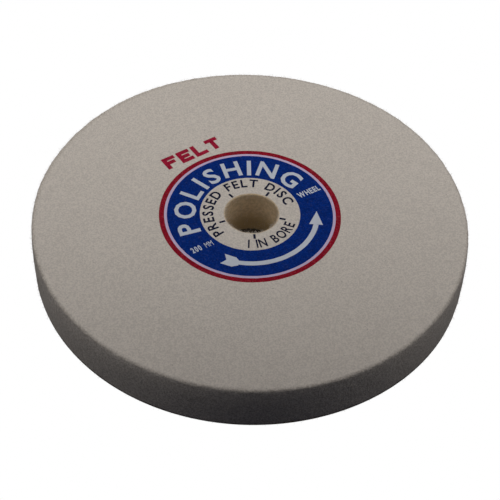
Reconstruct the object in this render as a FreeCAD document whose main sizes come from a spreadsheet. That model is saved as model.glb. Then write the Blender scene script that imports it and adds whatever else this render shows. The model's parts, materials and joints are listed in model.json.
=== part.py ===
import FreeCAD, Part
import Sketcher
import os
import re

# Felt polishing wheel: a thick disc of pressed wool felt, lying flat, with its printed stamp
# soaked into the top face.  Millimetres and degrees.  +Z is the wheel's axis, and the origin is the
# centre of the bottom face.  Angles are counter-clockwise from +X, seen from +Z.

SIZES = {
    # the disc
    "DiscRadius": 101.6,
    "DiscThickness": 24.0,
    "BoreRadius": 12.7,
    "RimRounding": 1.0,
    "BoreRounding": 0.5,
    # how deep the ink has soaked in
    "InkDepth": 0.4,
    # the stamp, but not the ticks, sits a little to one side of the wheel's axis
    "PrintShift": -0.7,
    # printed rings
    "BlueInnerRadius": 23.4,
    "BlueOuterRadius": 38.7,
    "RedInnerRadius": 40.0,
    "RedOuterRadius": 42.4,
    # rotation arrow, left bare in the blue band
    "ArrowRadius": 31.2,
    "ArrowShaftWidth": 2.4,
    "ArrowShaftAngle": 258.0,
    "ArrowShaftSweep": 92.0,
    "ArrowHeadWidth": 6.4,
    "ArrowHeadLength": 8.6,
    "ArrowHeadLean": 8.0,
    "ArrowTailAngle": 248.4,
    "ArrowTailWidth": 6.0,
    "ArrowTailShoulder": 5.5,
    "ArrowTailLength": 8.0,
    "ArrowTailNotch": 1.9,
    "ArrowTailLean": 3.0,
    # straight red word beyond the rings: the middle of its baseline, and its slant
    "WordRadius": 45.0,
    "WordAngle": 127.2,
    "WordSlant": 36.3,
    "LetterHeight": 8.0,
    "LetterWidth": 6.9,
    "LetterStroke": 2.3,
    "LetterPitch": 8.15,
    # centring ticks round the mouth of the bore
    "TickStartRadius": 13.3,
    "TickLength": 2.9,
    "TickWidth": 1.1,
    "TickFirstAngle": 61.0,
    "TickCount": 5,
}

# A letter is a few straight bars: left, bottom, width and height of each, from the letter's corner.
STEM = ("0", "0", "LetterStroke", "LetterHeight")
MIDDLE_STEM = ("(LetterWidth - LetterStroke) / 2", "0", "LetterStroke", "LetterHeight")
TOP_ARM = ("0", "LetterHeight - LetterStroke", "LetterWidth", "LetterStroke")
MIDDLE_ARM = ("0", "(LetterHeight - LetterStroke) / 2", "LetterWidth * 0.85", "LetterStroke")
FOOT_ARM = ("0", "0", "LetterWidth", "LetterStroke")
WORD = (
    ("F", (STEM, TOP_ARM, MIDDLE_ARM)),
    ("E", (STEM, TOP_ARM, MIDDLE_ARM, FOOT_ARM)),
    ("L", (STEM, FOOT_ARM)),
    ("T", (MIDDLE_STEM, TOP_ARM)),
)

INK_FLOOR = "DiscThickness - InkDepth"
VOLUME_TOLERANCE = 0.01  # cubic millimetres

doc = FreeCAD.newDocument("felt_polishing_wheel")


def make_sheet():
    """One row per driving dimension: its name in column A, its aliased number in column B."""
    sheet = doc.addObject("Spreadsheet::Sheet", "Sizes")
    for row, (alias, value) in enumerate(SIZES.items(), start=1):
        sheet.set("A%d" % row, alias)
        sheet.set("B%d" % row, str(value))
        sheet.setAlias("B%d" % row, alias)
    doc.recompute()


def bind(item, formulas):
    """Bind properties to formulas, in which every word that starts with a capital is an alias."""
    for property_name, formula in formulas.items():
        item.setExpression(property_name, re.sub(r"\b[A-Z]\w+", r"Sizes.\g<0>", formula))


def place(item, x, y, z="0", turn="0"):
    """Put an item's own origin at x, y, z and turn it about +Z."""
    bind(item, {
        "Placement.Base.x": x,
        "Placement.Base.y": y,
        "Placement.Base.z": z,
        "Placement.Rotation.Angle": turn,
    })


def cosine(angle):
    return "cos((%s) * 1deg)" % angle


def sine(angle):
    return "sin((%s) * 1deg)" % angle


def cylinder(name, radius, turn="0", sweep="360"):
    """A slice of the ink layer's height, full or a sector that starts at turn."""
    item = doc.addObject("Part::Cylinder", name)
    bind(item, {"Radius": radius, "Height": "InkDepth", "Angle": sweep})
    place(item, "PrintShift", "0", INK_FLOOR, turn)
    return item


def cut(name, base, tool):
    item = doc.addObject("Part::Cut", name)
    item.Base = base
    item.Tool = tool
    return item


def fuse(name, shapes):
    item = doc.addObject("Part::MultiFuse", name)
    item.Shapes = shapes
    return item


def round_edges(body, base, radius_alias, name, rounding):
    """Round the two circular edges of the radius that the sheet gives."""
    radius = SIZES[radius_alias]
    edges = [
        "Edge%d" % number
        for number, edge in enumerate(base.Shape.Edges, start=1)
        if isinstance(edge.Curve, Part.Circle) and abs(edge.Curve.Radius - radius) < 0.001
    ]
    fillet = body.newObject("PartDesign::Fillet", name)
    fillet.Base = (base, edges)
    bind(fillet, {"Radius": rounding})
    doc.recompute()
    return fillet


def make_felt_blank():
    """The plain disc: a rectangular section turned about the axis, with its four edges rounded."""
    body = doc.addObject("PartDesign::Body", "felt_blank")
    planes = {feature.Role: feature for feature in body.Origin.OriginFeatures}
    section = body.newObject("Sketcher::SketchObject", "section")
    section.AttachmentSupport = [(planes["XZ_Plane"], "")]
    section.MapMode = "FlatFace"

    inner, outer, top = (SIZES[name] for name in ("BoreRadius", "DiscRadius", "DiscThickness"))
    corners = [FreeCAD.Vector(x, y, 0) for x, y in ((inner, 0), (outer, 0), (outer, top), (inner, top))]
    for start, end in zip(corners, corners[1:] + corners[:1]):
        section.addGeometry(Part.LineSegment(start, end), False)
    for line in range(len(corners)):
        direction = "Vertical" if line % 2 else "Horizontal"
        section.addConstraint(Sketcher.Constraint("Coincident", line, 2, (line + 1) % len(corners), 1))
        section.addConstraint(Sketcher.Constraint(direction, line))
    section.addConstraint(Sketcher.Constraint("PointOnObject", 0, 1, -1))
    for name, kind, point, value in (
        ("BoreWall", "DistanceX", 1, inner),
        ("Rim", "DistanceX", 2, outer),
    ):
        number = section.addConstraint(Sketcher.Constraint(kind, -1, 1, 0, point, value))
        section.renameConstraint(number, name)
    number = section.addConstraint(Sketcher.Constraint("DistanceY", 1, 1, 1, 2, top))
    section.renameConstraint(number, "Height")
    bind(section, {
        "Constraints.BoreWall": "BoreRadius",
        "Constraints.Rim": "DiscRadius",
        "Constraints.Height": "DiscThickness",
    })

    disc = body.newObject("PartDesign::Revolution", "disc")
    disc.Profile = section
    disc.ReferenceAxis = (section, ["V_Axis"])
    doc.recompute()
    rim = round_edges(body, disc, "DiscRadius", "rounded_rim", "RimRounding")
    body.Tip = round_edges(body, rim, "BoreRadius", "rounded_bore", "BoreRounding")
    return body


def make_ring(name, inner, outer):
    return cut(name, cylinder(name + "_outside", outer), cylinder(name + "_inside", inner))


def make_wedge(name, start, end, start_width, end_width, angle, lean):
    """A flat bar that begins at an angle on the arrow's circle and widens or narrows along its length."""
    wedge = doc.addObject("Part::Wedge", name)
    bind(wedge, {
        "Xmin": "-(%s) / 2" % start_width,
        "Xmax": "(%s) / 2" % start_width,
        "X2min": "-(%s) / 2" % end_width,
        "X2max": "(%s) / 2" % end_width,
        "Ymin": start,
        "Ymax": end,
        "Zmin": "0",
        "Zmax": "InkDepth",
        "Z2min": "0",
        "Z2max": "InkDepth",
    })
    place(
        wedge,
        "PrintShift + ArrowRadius * " + cosine(angle),
        "ArrowRadius * " + sine(angle),
        INK_FLOOR,
        "%s + %s" % (angle, lean),
    )
    return wedge


def make_arrow_tail():
    """A broad bar that tapers into the shaft, with a notch in its back end."""
    line = ("ArrowTailAngle", "ArrowTailLean")
    broad = make_wedge("arrow_tail_broad", "0", "ArrowTailShoulder",
                       "ArrowTailWidth", "ArrowTailWidth", *line)
    taper = make_wedge("arrow_tail_taper", "ArrowTailShoulder", "ArrowTailLength",
                       "ArrowTailWidth", "ArrowShaftWidth", *line)
    notch = make_wedge("arrow_tail_notch", "0", "ArrowTailNotch", "ArrowTailWidth", "0", *line)
    return cut("arrow_tail", fuse("arrow_tail_bar", [broad, taper]), notch)


def make_arrow():
    """Curved shaft, straight-sided head and notched tail, pointing counter-clockwise."""
    outside = cylinder("arrow_shaft_outside", "ArrowRadius + ArrowShaftWidth / 2",
                       "ArrowShaftAngle", "ArrowShaftSweep")
    inside = cylinder("arrow_shaft_inside", "ArrowRadius - ArrowShaftWidth / 2")
    head = make_wedge("arrow_head", "0", "ArrowHeadLength", "ArrowHeadWidth", "0",
                      "ArrowShaftAngle + ArrowShaftSweep", "ArrowHeadLean")
    return fuse("arrow", [cut("arrow_shaft", outside, inside), head, make_arrow_tail()])


def make_blue_band():
    """The broad ring, with the arrow left out of it so that bare felt shows."""
    return cut("blue_ink_band", make_ring("blue_ring", "BlueInnerRadius", "BlueOuterRadius"), make_arrow())


def make_letter(position, name, bars):
    """One straight-sided letter of the red word, soaked into the felt."""
    letter = "red_letter_%d_%s" % (position + 1, name)
    boxes = []
    for number, (left, bottom, width, height) in enumerate(bars, start=1):
        box = doc.addObject("Part::Box", "%s_bar_%d" % (letter, number))
        bind(box, {"Length": width, "Width": height, "Height": "InkDepth"})
        place(box, left, bottom)
        boxes.append(box)
    item = fuse(letter, boxes)
    item.Refine = True
    along = "((%s) * LetterPitch - LetterWidth / 2)" % (position - (len(WORD) - 1) / 2)
    place(
        item,
        "PrintShift + WordRadius * %s + %s * %s" % (cosine("WordAngle"), along, cosine("WordSlant")),
        "WordRadius * %s + %s * %s" % (sine("WordAngle"), along, sine("WordSlant")),
        INK_FLOOR,
        "WordSlant",
    )
    return item


def make_tick(number):
    """A short radial bar at the mouth of the bore."""
    item = doc.addObject("Part::Box", "centring_tick_%d" % (number + 1))
    bind(item, {"Length": "TickLength", "Width": "TickWidth", "Height": "InkDepth"})
    angle = "TickFirstAngle + %d * 360 / TickCount" % number
    place(
        item,
        "TickStartRadius * %s + TickWidth / 2 * %s" % (cosine(angle), sine(angle)),
        "TickStartRadius * %s - TickWidth / 2 * %s" % (sine(angle), cosine(angle)),
        INK_FLOOR,
        angle,
    )
    return item


def check(solids, blank, felt):
    """Every feature worked, every sub-part is one valid solid, and the felt gave way to all the ink."""
    for item in doc.Objects:
        if "Invalid" in item.State or "Error" in item.State:
            raise RuntimeError("%s did not recompute: %s" % (item.Label, item.State))
    for item in solids:
        if item.Shape.isNull() or not item.Shape.isValid() or len(item.Shape.Solids) != 1:
            raise RuntimeError("%s is not one valid solid" % item.Label)
    ink_volume = sum(item.Shape.Volume for item in solids if item is not felt)
    if abs(blank.Shape.Volume - felt.Shape.Volume - ink_volume) > VOLUME_TOLERANCE:
        raise RuntimeError("the felt and the ink do not add up to the blank")


make_sheet()
felt_blank = make_felt_blank()
ink_items = [make_blue_band(), make_ring("red_ink_ring", "RedInnerRadius", "RedOuterRadius")]
ink_items += [make_letter(position, name, bars) for position, (name, bars) in enumerate(WORD)]
ink_items += [make_tick(number) for number in range(SIZES["TickCount"])]
felt_disc = cut("felt_disc", felt_blank, fuse("all_ink", ink_items))
doc.recompute()

sub_parts = [felt_disc] + ink_items
check(sub_parts, felt_blank, felt_disc)
os.makedirs("parts", exist_ok=True)
for sub_part in sub_parts:
    sub_part.Shape.exportStep("parts/%s.step" % sub_part.Label)
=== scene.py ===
import json
import math
import random

import bmesh
import bpy
import numpy as np
from mathutils import Matrix, Vector, kdtree, noise
from mathutils.geometry import delaunay_2d_cdt


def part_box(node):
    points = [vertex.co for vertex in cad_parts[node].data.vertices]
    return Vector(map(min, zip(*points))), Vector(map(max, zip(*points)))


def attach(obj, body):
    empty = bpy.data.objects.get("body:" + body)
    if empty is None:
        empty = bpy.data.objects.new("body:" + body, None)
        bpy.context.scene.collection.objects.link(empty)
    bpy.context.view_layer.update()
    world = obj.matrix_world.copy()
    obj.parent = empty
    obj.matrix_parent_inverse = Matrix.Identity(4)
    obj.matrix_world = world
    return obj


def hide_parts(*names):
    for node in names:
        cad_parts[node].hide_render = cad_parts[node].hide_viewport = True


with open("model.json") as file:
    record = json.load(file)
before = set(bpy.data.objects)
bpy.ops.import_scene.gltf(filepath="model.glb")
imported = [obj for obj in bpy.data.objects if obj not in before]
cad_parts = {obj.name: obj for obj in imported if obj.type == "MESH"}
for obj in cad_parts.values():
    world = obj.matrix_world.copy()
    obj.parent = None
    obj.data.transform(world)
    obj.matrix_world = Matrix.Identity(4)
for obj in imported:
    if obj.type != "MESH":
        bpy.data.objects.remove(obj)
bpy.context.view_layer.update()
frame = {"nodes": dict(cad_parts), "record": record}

# Felt polishing wheel lying flat, printed face up.  Shapes are worked out in millimetres, in the CAD's
# frame, and turned into metres when a mesh is made.

MM = 0.001
SEED = 20

# ---------------------------------------------------------------- sizes read from the frame


def middle_of(node):
    low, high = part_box(node)
    return np.array(((low.x + high.x) / 2, (low.y + high.y) / 2)) / MM


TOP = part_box("felt_disc")[1].z / MM
RIM_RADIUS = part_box("felt_disc")[1].x / MM
BORE_RADIUS = frame["record"]["mounts"][0]["dims"]["r_mm"]
INK_DEPTH = (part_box("blue_ink_band")[1].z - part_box("blue_ink_band")[0].z) / MM
PRINT_CENTRE = middle_of("red_ink_ring")
BLUE_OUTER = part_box("blue_ink_band")[1].x / MM - PRINT_CENTRE[0]

RED_LETTERS = sorted(name for name in frame["nodes"] if name.startswith("red_letter"))
TICKS = sorted(name for name in frame["nodes"] if name.startswith("centring_tick"))

# ---------------------------------------------------------------- felt, in millimetres

PILE = 0.4  # how far loose fibres close in on the bore
RIM_ROUNDING = 1.3
BORE_ROUNDING = 0.6
GRAIN = 0.86  # spacing of the points that carry the surface relief
BOTTOM_GRAIN = 2.4
RIM_COLUMNS = 800
BORE_COLUMNS = 150
WALL_ROWS = 24
ROUNDING_STEPS = 5
# wavelength and height of each layer of relief
RELIEF = ((42.0, 0.14), (9.0, 0.06), (3.4, 0.07), (1.9, 0.06))
EDGE_RAGGEDNESS = ((6.0, 0.10), (2.2, 0.14))
# the rim is not a perfect circle: how many waves go round it, how high, and where they are highest;
# a count of 0 is a swelling that is the same all round
RIM_WAVES = ((0, 0.25, 0.0), (1, 0.55, 130.0), (2, 0.15, 315.0), (4, 0.20, 190.0), (5, 0.10, 240.0))
# how much smaller the rim is at the top than at the bottom, and how far its top leans back
TOP_INSET = 0.65
TOP_LEAN = 0.35
# along the front of the top edge only: a further inset, and one more wave
FRONT_INSET = 0.40
FRONT_WAVE = (3, 0.55, 286.0)
INWARD_FADE = 6  # the higher, the faster the rim's waves die out towards the middle of the wheel
DOWNWARD_FADE = 4  # the higher, the faster the top edge's shape dies out towards the bottom
SHARP_ANGLE = 50.0  # edges sharper than this, in degrees, are not shaded smooth
POINT_JITTER = 0.2  # how far a point strays from its even place, as a share of the spacing
CLEARANCE = 0.55  # how near a point may come to an outline, as a share of the spacing

# loose fibres that stand out: how many along each edge or wall, how long, how thick
FIBRE_COUNTS = {"top_edge": 1500, "bottom_edge": 500, "rim": 700, "bore_mouth": 420, "bore": 260}
FIBRE_LENGTH = (0.7, 2.0)
FIBRE_RADIUS = 0.035
FIBRE_SIDES = 3
FIBRE_STEPS = 4
FIBRE_LEAN = 0.9
FIBRE_CURL = 0.55
FIBRE_ROOT = 0.3  # how deep a fibre's root is buried
FLOOR_GAP = 0.1  # no fibre comes nearer to the floor than this

# ---------------------------------------------------------------- print, in millimetres and degrees

OUTLINE_STEP = 0.7
FEWEST_CIRCLE_POINTS = 12  # a CAD outline with fewer points is not a circle
BLUE_INNER = 23.4
RED_INNER = 40.0
BIG_WORD = {
    "text": "POLISHING",
    "radius": 25.5,
    "height": 9.5,
    "middle": 126.0,
    "sweep": 166.0,
    "bold": 0.32,
}
INNER_TOP = {
    "text": "PRESSED FELT DISC",
    "radius": 17.3,
    "height": 4.8,
    "middle": 125.0,
    "sweep": 206.0,
    "bold": 0.20,
    "squeeze": 0.92,
}
INNER_FOOT = {
    "text": "1 IN BORE",
    "radius": 21.8,
    "height": 4.8,
    "middle": 307.0,
    "sweep": 76.0,
    "bold": 0.16,
    "squeeze": 0.76,
}
SMALL_PRINT = {"slant": 33.5, "height": 3.1, "bold": 0.16}
SMALL_LEFT = {"text": "200 MM", "radius": 30.8, "angle": 226.9, "squeeze": 0.6, **SMALL_PRINT}
SMALL_RIGHT = {"text": "WHEEL", "radius": 31.6, "angle": 30.1, "squeeze": 0.7, **SMALL_PRINT}
STRAIGHT_GAP = 0.13  # gap between letters of a straight word, as a share of their height
SPACE_WIDTH = 0.4  # width of a space, as a share of the letters' height

# ---------------------------------------------------------------- colours, as linear red, green and blue

FELT_PALE = (0.78, 0.705, 0.62)
FELT_DULL = (0.655, 0.59, 0.52)
FELT_HAIR = (0.42, 0.36, 0.29)
FELT_SPECK = (0.20, 0.165, 0.13)
BORE_PALE = (0.73, 0.54, 0.31)
BORE_DARK = (0.57, 0.42, 0.24)
# painted shade: a darker brown for the lower part of the bore wall, where less light reaches
BORE_PAINTED_SHADE = (0.46, 0.31, 0.12)
BLUISH_FELT = (0.655, 0.705, 0.79)
LAVENDER_FELT = (0.66, 0.51, 0.76)
BLUE = (0.0018, 0.026, 0.20)
RED = (0.30, 0.007, 0.022)
BRIGHT_RED = (0.37, 0.010, 0.038)
NAVY = (0.012, 0.014, 0.04)

# ---------------------------------------------------------------- camera and light

FRAME_WIDTH = 500
FOCAL = 1136.5  # in units of one frame width divided by FRAME_WIDTH
SENSOR = 36.0
CAMERA_ELEVATION = 45.99
CAMERA_DISTANCE = 5.213 * RIM_RADIUS * MM
CAMERA_PITCH = -1.861
CAMERA_ROLL = 2.47

FLOOR_SIZE = 6.0
SOFTBOX_PLACE = Vector((-0.011, 0.128, 0.802))
SOFTBOX_FACING = Vector((-0.078, 0.896, -0.436))
SOFTBOX_SIZE = (4.0, 1.25)
SOFTBOX_POWER = 19.3
FILL = 0.024
FILL_COLOUR = (0.92, 0.98, 1.35)
WHITE = (1.0, 1.0, 1.0)
UNDER_WHEEL = (0.012, 0.009, 0.006)
SHADE_INSET = 0.15  # how far, in millimetres, the dark patch under the wheel stays inside its rim
SHADE_HEIGHT = 0.02  # how far, in millimetres, it lies above the floor


# ================================================================ outlines


def circle(radius, count):
    turn = 2 * math.pi / count
    return np.array([(radius * math.cos(i * turn), radius * math.sin(i * turn)) for i in range(count)])


def polar(radius, angle):
    return radius * np.array((math.cos(math.radians(angle)), math.sin(math.radians(angle))))


def border_loops(mesh, faces):
    """Closed outlines, as arrays of x and y, of some faces of a bmesh."""
    chosen = set(faces)
    following = {}
    for face in faces:
        for loop in face.loops:
            if sum(other in chosen for other in loop.edge.link_faces) == 1:
                following[loop.vert] = loop.link_loop_next.vert
    outlines = []
    while following:
        start = vert = next(iter(following))
        points = []
        while vert in following:
            points.append((vert.co.x, vert.co.y))
            vert = following.pop(vert)
        if vert is start and len(points) > 2:
            outlines.append(np.array(points))
    return outlines


def cad_outlines(node):
    """Outlines, in millimetres, of the flat top of a CAD node; its round ones are redrawn evenly."""
    mesh = bmesh.new()
    mesh.from_mesh(frame["nodes"][node].data)
    bmesh.ops.remove_doubles(mesh, verts=mesh.verts, dist=0.001 * MM)
    highest = max(vert.co.z for vert in mesh.verts)
    top = [face for face in mesh.faces if all(highest - vert.co.z < 0.01 * MM for vert in face.verts)]
    outlines = [outline / MM for outline in border_loops(mesh, top)]
    mesh.free()
    redrawn = []
    for outline in outlines:
        centre = (outline.min(axis=0) + outline.max(axis=0)) / 2
        radii = np.hypot(*(outline - centre).T)
        if len(outline) >= FEWEST_CIRCLE_POINTS and radii.max() - radii.min() < 0.01:
            count = int(2 * math.pi * radii.mean() / OUTLINE_STEP)
            redrawn.append(circle(radii.mean(), count) + centre)
        else:
            redrawn.append(divide(outline))
    return redrawn


def divide(outline):
    """Add points along the long straight stretches of an outline."""
    points = []
    for start, end in zip(outline, np.roll(outline, -1, axis=0)):
        parts = max(1, round(float(np.hypot(*(end - start))) / OUTLINE_STEP))
        points += [start + (end - start) * part / parts for part in range(parts)]
    return np.array(points)


def glyph(character, bold):
    """Outlines of one character in the plain built-in font."""
    curve = bpy.data.curves.new("glyph", "FONT")
    curve.body = character
    curve.resolution_u = 3
    curve.offset = bold
    text = bpy.data.objects.new("glyph", curve)
    bpy.context.scene.collection.objects.link(text)
    bpy.context.view_layer.update()
    flat = bpy.data.meshes.new_from_object(text)
    bpy.data.objects.remove(text)
    mesh = bmesh.new()
    mesh.from_mesh(flat)
    bmesh.ops.remove_doubles(mesh, verts=mesh.verts, dist=0.0001)
    outlines = border_loops(mesh, list(mesh.faces))
    mesh.free()
    bpy.data.meshes.remove(flat)
    return outlines


def bold_glyph(character, bold):
    """Outlines of a thickened character, thinned again as far as needed to keep all of them."""
    wanted = len(glyph(character, 0.0))
    outlines = glyph(character, bold)
    while len(outlines) != wanted:
        bold *= 0.9
        outlines = glyph(character, bold)
    return outlines


def letters(text, height, bold, squeeze):
    """Each letter's outlines, with its lower left corner at the origin, and its width."""
    capital = np.vstack(glyph("H", 0.0))
    scale = height / (capital[:, 1].max() - capital[:, 1].min())
    spelled = []
    for character in text:
        if character == " ":
            spelled.append(([], SPACE_WIDTH * height))
            continue
        outlines = bold_glyph(character, bold / scale)
        left = min(outline[:, 0].min() for outline in outlines)
        right = max(outline[:, 0].max() for outline in outlines)
        moved = [(outline - (left, 0)) * scale * (squeeze, 1) for outline in outlines]
        spelled.append((moved, (right - left) * scale * squeeze))
    return spelled


def turned(outline, angle, shift):
    cos, sin = math.cos(math.radians(angle)), math.sin(math.radians(angle))
    return outline @ np.array(((cos, sin), (-sin, cos))) + shift


def arched_word(text, radius, height, middle, sweep, bold, squeeze=1.0, inward=False):
    """A word along a circle: clockwise with its feet inward, or counter-clockwise with its feet outward."""
    spelled = letters(text, height, bold, squeeze)
    mid_radius = radius + (-height / 2 if inward else height / 2)
    length = math.radians(sweep) * mid_radius
    gap = (length - sum(width for _, width in spelled)) / (len(spelled) - 1)
    along = -length / 2
    outlines = []
    for shapes, width in spelled:
        offset = math.degrees((along + width / 2) / mid_radius)
        angle = middle + offset if inward else middle - offset
        foot = PRINT_CENTRE + polar(radius, angle)
        upright = angle + 90 if inward else angle - 90
        outlines += [turned(shape - (width / 2, 0), upright, foot) for shape in shapes]
        along += width + gap
    return [divide(outline) for outline in outlines]


def straight_word(text, radius, angle, slant, height, bold, squeeze=1.0):
    """A straight slanted word centred on a point."""
    spelled = letters(text, height, bold, squeeze)
    gap = STRAIGHT_GAP * height
    along = -(sum(width for _, width in spelled) + gap * (len(spelled) - 1)) / 2
    centre = PRINT_CENTRE + polar(radius, angle)
    outlines = []
    for shapes, width in spelled:
        outlines += [turned(shape + (along, -height / 2), slant, centre) for shape in shapes]
        along += width + gap
    return [divide(outline) for outline in outlines]


def inside(points, outlines):
    """Which points lie inside a shape drawn by closed outlines, with its holes left out."""
    found = np.zeros(len(points), bool)
    for outline in outlines:
        low, high = outline.min(axis=0), outline.max(axis=0)
        near = np.flatnonzero(np.all((points >= low) & (points <= high), axis=1))
        x, y = points[near, 0], points[near, 1]
        odd = np.zeros(len(near), bool)
        for (x1, y1), (x2, y2) in zip(outline, np.roll(outline, -1, axis=0)):
            if y1 != y2:
                odd ^= ((y1 > y) != (y2 > y)) & (x < x1 + (y - y1) * (x2 - x1) / (y2 - y1))
        found[near] ^= odd
    return found


# ================================================================ the wheel's surface


def triangulate(outlines, rim, bore, spacing):
    """Fill the ring between two circles with small triangles that keep every outline as edges."""
    points = []
    edges = []
    for outline in [rim, bore] + outlines:
        first = len(points)
        points += [Vector(point) for point in outline]
        edges += [(first + i, first + (i + 1) % len(outline)) for i in range(len(outline))]
    tree = kdtree.KDTree(len(points))
    for index, point in enumerate(points):
        tree.insert((point.x, point.y, 0), index)
    tree.balance()

    rim_radius, bore_radius = float(np.hypot(*rim[0])), float(np.hypot(*bore[0]))
    jitter = random.Random(SEED)
    row_height = spacing * math.sqrt(3) / 2
    rows = int(rim_radius / row_height)
    columns = int(rim_radius / spacing) + 1
    for row in range(-rows, rows + 1):
        for column in range(-columns, columns + 1):
            x = (column + row % 2 / 2 + jitter.uniform(-POINT_JITTER, POINT_JITTER)) * spacing
            y = (row + jitter.uniform(-POINT_JITTER, POINT_JITTER)) * row_height
            if not bore_radius < math.hypot(x, y) < rim_radius - spacing / 3:
                continue
            if tree.find((x, y, 0))[2] > min(spacing, OUTLINE_STEP) * CLEARANCE:
                points.append(Vector((x, y)))
    filled = delaunay_2d_cdt(points, edges, [], 0, 0.0001, True)
    flat, faces, sources = np.array([tuple(v) for v in filled[0]]), np.array(filled[2]), filled[3]
    place_of = {source: index for index, origin in enumerate(sources) for source in origin}
    middles = flat[faces].mean(axis=1)
    faces = faces[np.hypot(middles[:, 0], middles[:, 1]) > bore_radius * 0.999]
    rim_places = [place_of[i] for i in range(len(rim))]
    bore_places = [place_of[len(rim) + i] for i in range(len(bore))]
    return flat, faces, rim_places, bore_places


def relief(point, layers):
    """Height of the lumpy felt surface at a point."""
    height = 0.0
    for number, (wavelength, size) in enumerate(layers):
        height += size * noise.noise(point / wavelength + Vector((0, 0, 7.0 * number)))
    return height


def wall_profile(radius, rounding, outward):
    """Points down one wall, without its first and last, as (radius, height, normal r, normal z)."""
    profile = []
    for step in range(1, ROUNDING_STEPS + 1):
        angle = math.pi / 2 * step / ROUNDING_STEPS
        profile.append((
            radius + outward * rounding * (math.sin(angle) - 1),
            TOP + rounding * (math.cos(angle) - 1),
            outward * math.sin(angle),
            math.cos(angle),
        ))
    straight = TOP - 2 * rounding
    for row in range(1, WALL_ROWS):
        profile.append((radius, TOP - rounding - straight * row / WALL_ROWS, outward, 0.0))
    lower = [(r, TOP - z, nr, -nz) for r, z, nr, nz in profile[:ROUNDING_STEPS]]
    return profile + lower[::-1]


def out_of_round(x, y, z):
    """Move a point out or in with the uneven rim, less and less towards the middle of the wheel."""
    angle = math.degrees(math.atan2(y, x))
    swell = sum(
        height * math.cos(math.radians(count * angle - phase)) for count, height, phase in RIM_WAVES
    )
    backward = math.sin(math.radians(angle))
    count, height, highest = FRONT_WAVE
    front_wave = height * math.cos(math.radians(count * (angle - highest)))
    at_top = TOP_LEAN * backward - TOP_INSET + max(0.0, -backward) * (front_wave - FRONT_INSET)
    swell += at_top * (z / TOP) ** DOWNWARD_FADE
    grown = 1 + swell / RIM_RADIUS * (math.hypot(x, y) / RIM_RADIUS) ** INWARD_FADE
    return x * grown, y * grown, z


class Surface:
    """Vertices and faces of one closed piece, in millimetres."""

    def __init__(self):
        self.points = []
        self.faces = []

    def add_point(self, point):
        self.points.append(tuple(point))
        return len(self.points) - 1

    def make(self, name, material):
        mesh = bpy.data.meshes.new(name)
        placed = [out_of_round(*point) for point in self.points]
        mesh.from_pydata([tuple(value * MM for value in point) for point in placed], [], self.faces)
        mesh.polygons.foreach_set("use_smooth", [True] * len(mesh.polygons))
        mesh.set_sharp_from_angle(angle=math.radians(SHARP_ANGLE))
        mesh.materials.append(material)
        piece = bpy.data.objects.new(name, mesh)
        bpy.context.scene.collection.objects.link(piece)
        return piece


def ragged(x, y, z, normal):
    """Move a point of the rim or bore along its normal by the relief, most at the rounded edges."""
    point = Vector((x, y, z))
    shift = relief(point, RELIEF)
    if 0 < abs(normal.z) < 1:
        shift += relief(point, EDGE_RAGGEDNESS)
    return point + normal * shift


def add_wall(surface, radius, rounding, outward, top_ring, bottom_ring):
    """Join the ring of points at the top to the one at the bottom by the wall between them."""
    columns = len(top_ring)
    rings = [top_ring]
    for r, z, normal_r, normal_z in wall_profile(radius, rounding, outward):
        ring = []
        for column in range(columns):
            angle = 2 * math.pi * column / columns
            cos, sin = math.cos(angle), math.sin(angle)
            normal = Vector((normal_r * cos, normal_r * sin, normal_z))
            ring.append(surface.add_point(ragged(r * cos, r * sin, z, normal)))
        rings.append(ring)
    rings.append(bottom_ring)
    for upper, lower in zip(rings, rings[1:]):
        for column in range(columns):
            after = (column + 1) % columns
            quad = (upper[column], lower[column], lower[after], upper[after])
            surface.faces.append(quad if outward > 0 else quad[::-1])


def border_edges(faces):
    """Edges that only one of the faces has, in that face's direction."""
    directed = {(int(a), int(b)) for face in faces for a, b in zip(face, np.roll(face, -1))}
    return [(a, b) for a, b in directed if (b, a) not in directed]


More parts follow.
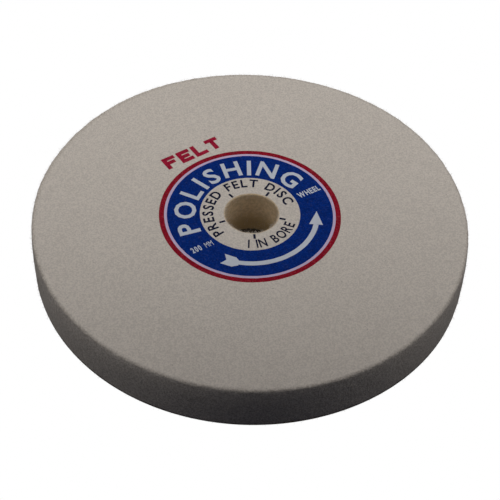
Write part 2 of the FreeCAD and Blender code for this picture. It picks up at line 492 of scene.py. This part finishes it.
def build_surfaces(prints):
    """The felt with a shallow pocket for each print, and each print as a thin solid that fills its own."""
    rim_radius, bore_radius = RIM_RADIUS, BORE_RADIUS - PILE
    outlines = [outline for shape in prints.values() for outline in shape]
    rim = circle(rim_radius - RIM_ROUNDING, RIM_COLUMNS)
    bore = circle(bore_radius + BORE_ROUNDING, BORE_COLUMNS)
    flat, faces, rim_ring, bore_ring = triangulate(outlines, rim, bore, GRAIN)
    middles = flat[faces].mean(axis=1)
    region = np.full(len(faces), "felt", dtype=object)
    for name, shape in prints.items():
        region[inside(middles, shape)] = name

    heights = [relief(Vector((x, y, TOP)), RELIEF) for x, y in flat]
    upper = [(x, y, TOP + height) for (x, y), height in zip(flat, heights)]
    lower = [(x, y, z - INK_DEPTH) for x, y, z in upper]

    surfaces = {"felt": Surface()}
    felt = surfaces["felt"]
    felt.points = list(upper)
    felt.faces = [tuple(map(int, face)) for face in faces[region == "felt"]]
    printed = faces[region != "felt"]
    floor_of = {int(i): felt.add_point(lower[i]) for i in sorted(set(printed.ravel()))}
    felt.faces += [tuple(floor_of[int(i)] for i in face) for face in printed]
    felt.faces += [(a, b, floor_of[b], floor_of[a]) for a, b in border_edges(printed)]

    for name in prints:
        own = faces[region == name]
        used = sorted(set(int(i) for i in own.ravel()))
        surface = surfaces[name] = Surface()
        top_of = {i: surface.add_point(upper[i]) for i in used}
        under = {i: surface.add_point(lower[i]) for i in used}
        surface.faces = [tuple(top_of[int(i)] for i in face) for face in own]
        surface.faces += [tuple(under[int(i)] for i in face[::-1]) for face in own]
        surface.faces += [(top_of[b], top_of[a], under[a], under[b]) for a, b in border_edges(own)]

    bottom, bottom_faces, bottom_rim, bottom_bore = triangulate([], rim, bore, BOTTOM_GRAIN)
    first = len(felt.points)
    felt.points += [(x, y, 0.0) for x, y in bottom]
    felt.faces += [tuple(first + int(i) for i in face[::-1]) for face in bottom_faces]
    add_wall(felt, rim_radius, RIM_ROUNDING, 1, rim_ring, [first + i for i in bottom_rim])
    add_wall(felt, bore_radius, BORE_ROUNDING, -1, bore_ring, [first + i for i in bottom_bore])
    return surfaces


# ================================================================ loose fibres


def on_rounding(radius, rounding, tilt, outward):
    """Radius, height and normal of a point on the rounding above a wall."""
    normal_r, normal_z = outward * math.cos(tilt), math.sin(tilt)
    inset, drop = rounding * (1 - math.cos(tilt)), rounding * (1 - normal_z)
    return radius - outward * inset, TOP - drop, normal_r, normal_z


def fibre_roots(where, chance):
    """Place and outward direction of one fibre's root."""
    outward = -1 if where.startswith("bore") else 1
    radius = BORE_RADIUS - PILE if outward < 0 else RIM_RADIUS
    rounding = BORE_ROUNDING if outward < 0 else RIM_ROUNDING
    angle = chance.uniform(0, 2 * math.pi)
    if where in ("top_edge", "bore_mouth"):
        tilt = chance.uniform(0.05, 0.95) * math.pi / 2
        r, z, normal_r, normal_z = on_rounding(radius, rounding, tilt, outward)
    elif where == "bottom_edge":
        tilt = chance.uniform(0.05, 0.6) * math.pi / 2
        r, z, normal_r, normal_z = on_rounding(radius, rounding, tilt, outward)
        z, normal_z = TOP - z, -normal_z
    else:
        r, z, normal_r, normal_z = radius, chance.uniform(rounding, TOP - rounding), outward, 0.0
    cos, sin = math.cos(angle), math.sin(angle)
    return Vector((r * cos, r * sin, z)), Vector((normal_r * cos, normal_r * sin, normal_z))


def random_direction(chance):
    return Vector([chance.gauss(0, 1) for _ in range(3)]).normalized()


def add_fibre(surface, root, normal, chance):
    """A thin curling tube, closed at both ends, that starts under the surface."""
    heading = (normal + FIBRE_LEAN * random_direction(chance)).normalized()
    curl = FIBRE_CURL * random_direction(chance)
    step = chance.uniform(*FIBRE_LENGTH) / FIBRE_STEPS
    centre = root - heading * FIBRE_ROOT
    rings = []
    for number in range(FIBRE_STEPS + 1):
        side = heading.orthogonal().normalized()
        up = heading.cross(side)
        width = FIBRE_RADIUS * (1 - 0.5 * number / FIBRE_STEPS)
        ring = []
        for corner in range(FIBRE_SIDES):
            turn = 2 * math.pi * corner / FIBRE_SIDES
            point = centre + width * (math.cos(turn) * side + math.sin(turn) * up)
            point.z = max(point.z, FLOOR_GAP)
            ring.append(surface.add_point(point))
        rings.append(ring)
        heading = (heading + curl / FIBRE_STEPS).normalized()
        centre = centre + heading * step
    for lower, upper in zip(rings, rings[1:]):
        for corner in range(FIBRE_SIDES):
            after = (corner + 1) % FIBRE_SIDES
            surface.faces.append((lower[corner], lower[after], upper[after], upper[corner]))
    surface.faces += [tuple(rings[0][::-1]), tuple(rings[-1])]


def build_fibres():
    surface = Surface()
    chance = random.Random(SEED)
    for where, count in FIBRE_COUNTS.items():
        for _ in range(count):
            root, normal = fibre_roots(where, chance)
            add_fibre(surface, root, normal, chance)
    return surface


# ================================================================ materials


class Recipe:
    """A procedural material, with short ways to add the nodes that colour it."""

    def __init__(self, name):
        self.material = bpy.data.materials.new(name)
        self.material.use_nodes = True
        self.nodes = self.material.node_tree.nodes
        self.links = self.material.node_tree.links
        self.shader = self.nodes["Principled BSDF"]
        self.place = self.nodes.new("ShaderNodeTexCoord").outputs["Object"]

    def feed(self, socket, value):
        """Link an output to a socket, or set the socket to a plain value."""
        if isinstance(value, bpy.types.NodeSocket):
            self.links.new(value, socket)
        elif isinstance(value, tuple):
            socket.default_value = (*value, 1)
        else:
            socket.default_value = value

    def maths(self, operation, first, second=0.0):
        node = self.nodes.new("ShaderNodeMath")
        node.operation = operation
        self.feed(node.inputs[0], first)
        self.feed(node.inputs[1], second)
        return node.outputs[0]

    def total(self, *parts):
        """Sum of values, each times its own weight."""
        result = 0.0
        for value, weight in parts:
            result = self.maths("ADD", result, self.maths("MULTIPLY", value, weight))
        return result

    def ease(self, value, start, end):
        """0 where the value is at the start, 1 where it is at the end, smooth between."""
        node = self.nodes.new("ShaderNodeMapRange")
        node.interpolation_type = "SMOOTHSTEP"
        self.feed(node.inputs["Value"], value)
        node.inputs["From Min"].default_value = start
        node.inputs["From Max"].default_value = end
        return node.outputs["Result"]

    def noise(self, wavelength, detail, variant):
        """Noise about 0.5 with lumps about a wavelength, in millimetres, apart."""
        node = self.nodes.new("ShaderNodeTexNoise")
        node.noise_dimensions = "4D"
        node.inputs["W"].default_value = variant
        node.inputs["Scale"].default_value = 1 / (wavelength * MM)
        node.inputs["Detail"].default_value = detail
        self.links.new(self.place, node.inputs["Vector"])
        return node.outputs["Fac"]

    def hairs(self, wavelength, width, variant):
        """Thin curling lines, where a noise passes through its middle value."""
        off_middle = self.maths("SUBTRACT", self.noise(wavelength, 1.0, variant), 0.5)
        return self.ease(self.maths("ABSOLUTE", off_middle), width, 0.0)

    def blend(self, amount, first, second):
        node = self.nodes.new("ShaderNodeMix")
        node.data_type = "RGBA"
        self.feed(node.inputs[0], amount)
        self.feed(node.inputs[6], first)
        self.feed(node.inputs[7], second)
        return node.outputs[2]

    def distance_from(self, x, y):
        """Distance, in metres, from an upright line through x and y, in millimetres."""
        shifted = self.nodes.new("ShaderNodeVectorMath")
        shifted.operation = "SUBTRACT"
        self.links.new(self.place, shifted.inputs[0])
        shifted.inputs[1].default_value = (x * MM, y * MM, 0)
        flat = self.nodes.new("ShaderNodeVectorMath")
        flat.operation = "MULTIPLY"
        self.links.new(shifted.outputs["Vector"], flat.inputs[0])
        flat.inputs[1].default_value = (1, 1, 0)
        length = self.nodes.new("ShaderNodeVectorMath")
        length.operation = "LENGTH"
        self.links.new(flat.outputs["Vector"], length.inputs[0])
        return length.outputs["Value"]

    def finish(self, colour, height, depth, roughness):
        """Plug in the colour, a bump whose full height is depth millimetres, and the roughness."""
        self.feed(self.shader.inputs["Base Color"], colour)
        self.feed(self.shader.inputs["Roughness"], roughness)
        bump = self.nodes.new("ShaderNodeBump")
        bump.inputs["Distance"].default_value = depth * MM
        self.feed(bump.inputs["Height"], height)
        self.links.new(bump.outputs["Normal"], self.shader.inputs["Normal"])
        return self.material


def between(recipe, distance, inner, outer, blur=0.15):
    """1 inside a ring, given by two radii in millimetres, with slightly blurred borders."""
    after_inner = recipe.ease(distance, (inner - blur) * MM, (inner + blur) * MM)
    before_outer = recipe.ease(distance, (outer + blur) * MM, (outer - blur) * MM)
    return recipe.maths("MULTIPLY", after_inner, before_outer)


def felt_colour(felt):
    """Off-white wool, mottled at three sizes, with darker hairs and a few dark specks."""
    tone = felt.total(
        (felt.noise(24.0, 2.0, 1.0), 0.08),
        (felt.noise(2.6, 2.0, 2.0), 0.08),
        (felt.noise(0.7, 1.0, 3.0), 0.84),
    )
    colour = felt.blend(felt.ease(tone, 0.38, 0.62), FELT_DULL, FELT_PALE)
    hairs = felt.maths("MAXIMUM", felt.hairs(5.0, 0.006, 4.0), felt.hairs(3.6, 0.006, 5.0))
    patchy = felt.ease(felt.noise(1.6, 1.0, 6.0), 0.45, 0.65)
    seen = felt.maths("MULTIPLY", felt.maths("MULTIPLY", hairs, patchy), 0.35)
    colour = felt.blend(seen, colour, FELT_HAIR)
    specks = felt.ease(felt.noise(0.8, 0.0, 7.0), 0.76, 0.84)
    return felt.blend(felt.maths("MULTIPLY", specks, 0.5), colour, FELT_SPECK)


def wool_finish(recipe, colour, depth):
    """The matte, fibrous surface that bare and printed felt share."""
    curls = recipe.maths("MAXIMUM", recipe.hairs(1.7, 0.06, 8.0), recipe.hairs(1.2, 0.06, 9.0))
    height = recipe.total((curls, 0.25), (recipe.noise(0.8, 2.0, 10.0), 0.75))
    rough = recipe.total((recipe.noise(1.2, 1.0, 11.0), 0.15), (1.0, 0.85))
    recipe.shader.inputs["Specular IOR Level"].default_value = 0.06
    return recipe.finish(colour, height, depth, rough)


def felt_material():
    felt = Recipe("pressed_wool_felt")
    colour = felt_colour(felt)
    from_print = felt.distance_from(*PRINT_CENTRE)
    on_top = felt.nodes.new("ShaderNodeSeparateXYZ")
    felt.links.new(felt.place, on_top.inputs[0])
    near_top = felt.ease(on_top.outputs["Z"], (TOP - 1.5) * MM, (TOP - 0.8) * MM)
    for inner, outer, tint, strength in (
        (BLUE_INNER, BLUE_OUTER, BLUISH_FELT, 0.85),
        (BLUE_OUTER, RED_INNER, LAVENDER_FELT, 0.85),
    ):
        amount = felt.maths("MULTIPLY", between(felt, from_print, inner, outer), near_top)
        colour = felt.blend(felt.maths("MULTIPLY", amount, strength), colour, tint)
    on_rim = felt.ease(felt.distance_from(0, 0), (RIM_RADIUS - 2.5) * MM, (RIM_RADIUS - 1.0) * MM)
    rough_cut = felt.maths("MULTIPLY", on_rim, felt.ease(felt.noise(0.8, 1.0, 19.0), 0.42, 0.62))
    colour = felt.blend(felt.maths("MULTIPLY", rough_cut, 0.6), colour, FELT_HAIR)
    in_bore = felt.ease(felt.distance_from(0, 0), (BORE_RADIUS + 0.5) * MM, (BORE_RADIUS - 0.1) * MM)
    shade = felt.ease(felt.noise(1.5, 2.0, 12.0), 0.35, 0.65)
    brown = felt.blend(shade, BORE_DARK, BORE_PALE)
    # painted shade: the bore's brown darkens towards the bottom of the wall, where less light reaches
    deep = felt.ease(on_top.outputs["Z"], 0.6 * TOP * MM, 0.2 * TOP * MM)
    brown = felt.blend(deep, brown, BORE_PAINTED_SHADE)
    colour = felt.blend(felt.maths("MULTIPLY", in_bore, 0.9), colour, brown)
    felt.shader.inputs["Sheen Weight"].default_value = 0.05
    felt.shader.inputs["Sheen Roughness"].default_value = 0.6
    return wool_finish(felt, colour, 0.30)


def fibre_material():
    fibre = Recipe("loose_wool_fibre")
    tone = fibre.ease(fibre.noise(2.0, 1.0, 13.0), 0.35, 0.65)
    colour = fibre.blend(tone, FELT_DULL, FELT_PALE)
    rough = fibre.total((tone, 0.10), (1.0, 0.85))
    return fibre.finish(colour, fibre.noise(0.2, 1.0, 14.0), 0.01, rough)


def ink_material(name, ink_colour, show_through):
    """Ink soaked into felt: uneven, with the wool's hairs showing through a little."""
    ink = Recipe(name)
    uneven = ink.total((ink.noise(3.0, 2.0, 15.0), 0.35), (ink.noise(0.8, 2.0, 16.0), 0.65))
    darker = tuple(value * 0.75 for value in ink_colour)
    lighter = tuple(value * 1.3 for value in ink_colour)
    colour = ink.blend(ink.ease(uneven, 0.36, 0.64), darker, lighter)
    gaps = ink.ease(ink.noise(0.7, 0.0, 18.0), 0.66, 0.8)
    bare = ink.maths("MAXIMUM", ink.hairs(2.2, 0.02, 17.0), gaps)
    colour = ink.blend(ink.maths("MULTIPLY", bare, show_through), colour, FELT_DULL)
    return wool_finish(ink, colour, 0.20)


# ================================================================ stage, light and camera


def glowing(name, colour):
    """A surface that shows one colour whatever light falls on it."""
    plain = Recipe(name)
    plain.shader.inputs["Emission Color"].default_value = (*colour, 1)
    plain.shader.inputs["Emission Strength"].default_value = 1.0
    plain.shader.inputs["Base Color"].default_value = (0, 0, 0, 1)
    plain.shader.inputs["Specular IOR Level"].default_value = 0.0
    return plain.material


def make_stage():
    """A white floor, and a dark patch that follows the rim, where no light gets under the wheel."""
    bpy.ops.mesh.primitive_plane_add(size=FLOOR_SIZE)
    floor = bpy.context.object
    floor.name = "floor"
    floor.data.materials.append(glowing("pale_floor", WHITE))

    shade = Surface()
    outline = circle(RIM_RADIUS - SHADE_INSET, RIM_COLUMNS)
    shade.faces.append(tuple(shade.add_point((x, y, SHADE_HEIGHT)) for x, y in outline))
    patch = shade.make("shade_under_wheel", glowing("under_wheel", UNDER_WHEEL))

    for part in (floor, patch):
        part.visible_diffuse = False
        part.visible_glossy = False


def make_softbox():
    light = bpy.data.lights.new("softbox", "AREA")
    light.shape = "RECTANGLE"
    light.size, light.size_y = SOFTBOX_SIZE
    light.energy = SOFTBOX_POWER
    lamp = bpy.data.objects.new("softbox", light)
    bpy.context.scene.collection.objects.link(lamp)
    lamp.location = SOFTBOX_PLACE
    lamp.rotation_euler = SOFTBOX_FACING.to_track_quat("-Z", "Y").to_euler()
    lamp.visible_camera = False


def make_world():
    world = bpy.data.worlds.new("studio")
    bpy.context.scene.world = world
    world.use_nodes = True
    nodes, links = world.node_tree.nodes, world.node_tree.links
    fill = nodes["Background"]
    fill.inputs["Color"].default_value = (*FILL_COLOUR, 1)
    fill.inputs["Strength"].default_value = FILL
    backdrop = nodes.new("ShaderNodeBackground")
    backdrop.inputs["Color"].default_value = (1, 1, 1, 1)
    backdrop.inputs["Strength"].default_value = 1.0
    path = nodes.new("ShaderNodeLightPath")
    choose = nodes.new("ShaderNodeMixShader")
    links.new(path.outputs["Is Camera Ray"], choose.inputs["Fac"])
    links.new(fill.outputs["Background"], choose.inputs[1])
    links.new(backdrop.outputs["Background"], choose.inputs[2])
    links.new(choose.outputs["Shader"], nodes["World Output"].inputs["Surface"])


def make_camera():
    data = bpy.data.cameras.new("camera")
    data.sensor_width = SENSOR
    data.lens = SENSOR * FOCAL / FRAME_WIDTH
    data.clip_start = 0.01
    camera = bpy.data.objects.new("camera", data)
    bpy.context.scene.collection.objects.link(camera)
    elevation = math.radians(CAMERA_ELEVATION)
    place = Vector((0, -math.cos(elevation), math.sin(elevation))) * CAMERA_DISTANCE
    stand = Matrix.Translation(place + Vector((0, 0, TOP * MM)))
    facing = Matrix.Rotation(math.pi / 2 - elevation, 4, "X")
    pitch = Matrix.Rotation(math.radians(CAMERA_PITCH), 4, "X")
    roll = Matrix.Rotation(math.radians(CAMERA_ROLL), 4, "Z")
    camera.matrix_world = stand @ facing @ pitch @ roll
    bpy.context.scene.camera = camera


# ================================================================ put it together

prints = {
    "blue": cad_outlines("blue_ink_band")
    + arched_word(**BIG_WORD)
    + straight_word(**SMALL_LEFT)
    + straight_word(**SMALL_RIGHT),
    "red_ring": cad_outlines("red_ink_ring"),
    "red_word": [outline for node in RED_LETTERS for outline in cad_outlines(node)],
    "navy_words": arched_word(**INNER_TOP) + arched_word(**INNER_FOOT, inward=True),
    "ticks": [outline for node in TICKS for outline in cad_outlines(node)],
}
surfaces = build_surfaces(prints)

blue_ink = ink_material("blue_ink", BLUE, 0.03)
red_ink = ink_material("red_ink", RED, 0.07)
bright_red_ink = ink_material("bright_red_ink", BRIGHT_RED, 0.06)
navy_ink = ink_material("navy_ink", NAVY, 0.06)

PIECES = (
    (surfaces["felt"], "felt_wheel", felt_material(), "wool_felt", ["felt_disc"]),
    (surfaces["blue"], "blue_print", blue_ink, "blue_ink", ["blue_ink_band"]),
    (surfaces["red_ring"], "red_print_ring", red_ink, "red_ink", ["red_ink_ring"]),
    (surfaces["red_word"], "red_print_word", bright_red_ink, "red_ink", RED_LETTERS),
    (surfaces["ticks"], "centring_ticks", navy_ink, "dark_blue_ink", TICKS),
    (surfaces["navy_words"], "inner_lettering", navy_ink, "dark_blue_ink", []),
    (build_fibres(), "loose_fibres", fibre_material(), "wool_felt", []),
)
for surface, name, material, slot, nodes in PIECES:
    piece = surface.make(name, material)
    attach(piece, "root")
    if nodes:
        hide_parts(*nodes)

make_stage()
make_world()
make_softbox()
make_camera()
bpy.context.scene.view_settings.view_transform = "Standard"
